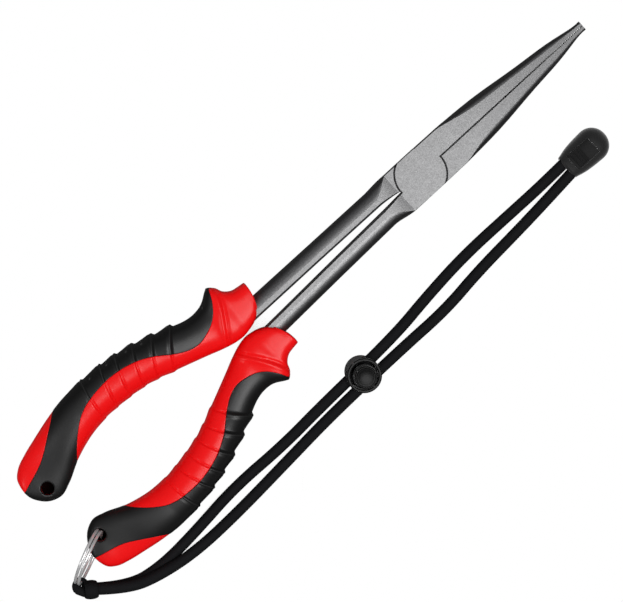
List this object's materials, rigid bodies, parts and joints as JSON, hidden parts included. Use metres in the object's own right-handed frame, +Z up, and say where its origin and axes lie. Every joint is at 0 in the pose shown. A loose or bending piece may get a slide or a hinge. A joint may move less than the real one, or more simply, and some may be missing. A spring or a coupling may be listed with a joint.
{
  "type": "fishing pliers",
  "caption": "Long-reach needle-nose fishing pliers with two-colour moulded grips, a split ring and a short cord lanyard with a cord lock and clip end.",
  "frame": {"origin": "on the supporting surface, under the middle of the pliers with their split ring and without the cord", "axes": "+X from the handles to the jaw tips along the closing line, +Y across the tool away from the lanyard, +Z up along the pivot pin"},
  "size_m": [0.2931, 0.0803, 0.0233],
  "materials": {
    "steel": "bead-blasted grey coated steel",
    "red_plastic": "satin moulded red",
    "black_rubber": "matte soft grip",
    "ring_chrome": "bright plated spring steel",
    "cord": "fine braided black cord",
    "lock_plastic": "glossy black moulded",
    "spring_steel": "bare wire",
    "end_plastic": "matte dark moulded"
  },
  "bodies": {
    "fixed_half": {"upper_jaw_half": "steel", "pivot_pin": "steel", "right_grip_core": "red_plastic", "right_grip_sleeve": "black_rubber"},
    "moving_half": {"lower_jaw_half": "steel", "left_grip_core": "red_plastic", "left_grip_sleeve": "black_rubber"},
    "ring": {"split_ring": "ring_chrome"},
    "lanyard": {"hitch_knot": "cord", "cord_leg_a": "cord", "cord_leg_b": "cord", "cord_end_shell": "end_plastic", "cord_end_knot": "cord"},
    "cord_lock": {"lock_barrel": "lock_plastic", "lock_spring": "spring_steel"},
    "lock_plunger": {"lock_button": "lock_plastic"},
    "end_flap": {"cord_end_lid": "end_plastic"}
  },
  "joints": [
    {"name": "jaw_pivot", "type": "hinge", "parent": "fixed_half", "child": "moving_half", "pos_m": [0.06019, 0.00399, 0.00885], "axis": [0, 0, -1], "range_deg": [0, 20]},
    {"name": "ring_swing", "type": "hinge", "parent": "fixed_half", "child": "ring", "pos_m": [-0.1254, -0.01528, 0.00885], "axis": [0, 0, -1], "range_deg": [0, 60]},
    {"name": "lanyard_swing", "type": "hinge", "parent": "ring", "child": "lanyard", "pos_m": [-0.1429, -0.02343, 0.0085], "axis": [0, 0, -1], "range_deg": [0, 35]},
    {"name": "lock_slide", "type": "slide", "parent": "lanyard", "child": "cord_lock", "axis": [1, 0, 0], "range_m": [-0.004, 0.004]},
    {"name": "button_press", "type": "slide", "parent": "cord_lock", "child": "lock_plunger", "axis": [0, 0.1219, -0.9925], "range_m": [0, 0.002], "stiffness_N_per_m": 500, "springref_m": -0.002, "deforming": ["lock_spring"]},
    {"name": "lid_hinge", "type": "hinge", "parent": "lanyard", "child": "end_flap", "pos_m": [0.11719, -0.03301, 0.008], "axis": [0, 1, 0], "range_deg": [0, 70]}
  ]
}
